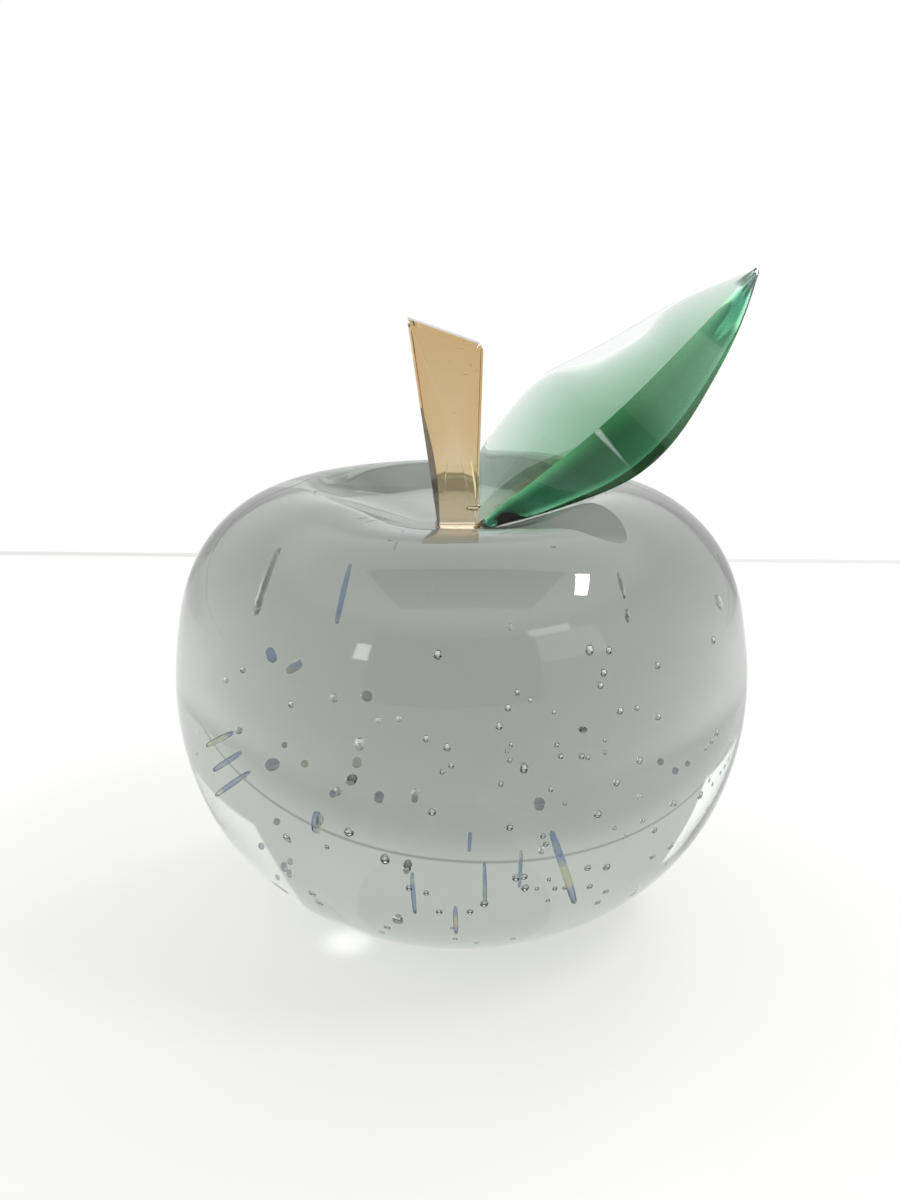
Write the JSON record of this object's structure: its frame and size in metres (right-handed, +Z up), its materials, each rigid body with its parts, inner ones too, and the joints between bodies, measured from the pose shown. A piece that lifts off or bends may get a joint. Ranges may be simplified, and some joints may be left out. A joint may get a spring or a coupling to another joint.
{
  "type": "art glass apple paperweight",
  "caption": "Solid clear glass apple with seed bubbles, a ground amber glass stem and a ridged green glass leaf glued in its dimple, standing on a polished flat.",
  "frame": {"origin": "centre of the polished flat under the apple, on the axis of its body", "axes": "+Z up along the body's axis out of the dimple, +X towards the side the leaf's tip points to, +Y away from the viewer of the leaf's ridge"},
  "size_m": [0.1, 0.1, 0.1121],
  "materials": {
    "clear_glass": "polished solid clear glass with a faint grey-green depth and round seed bubbles",
    "amber_glass": "polished amber glass, ground flat on its sides and slanting top",
    "green_glass": "polished green glass, pale where thin and deep green where thick",
    "clear_adhesive": "clear cured glass adhesive"
  },
  "bodies": {
    "root": {"apple_body": "clear_glass", "stem": "amber_glass", "leaf": "green_glass", "stem_bond": "clear_adhesive", "leaf_foot_bond": "clear_adhesive", "leaf_side_bond": "clear_adhesive"}
  },
  "joints": []
}
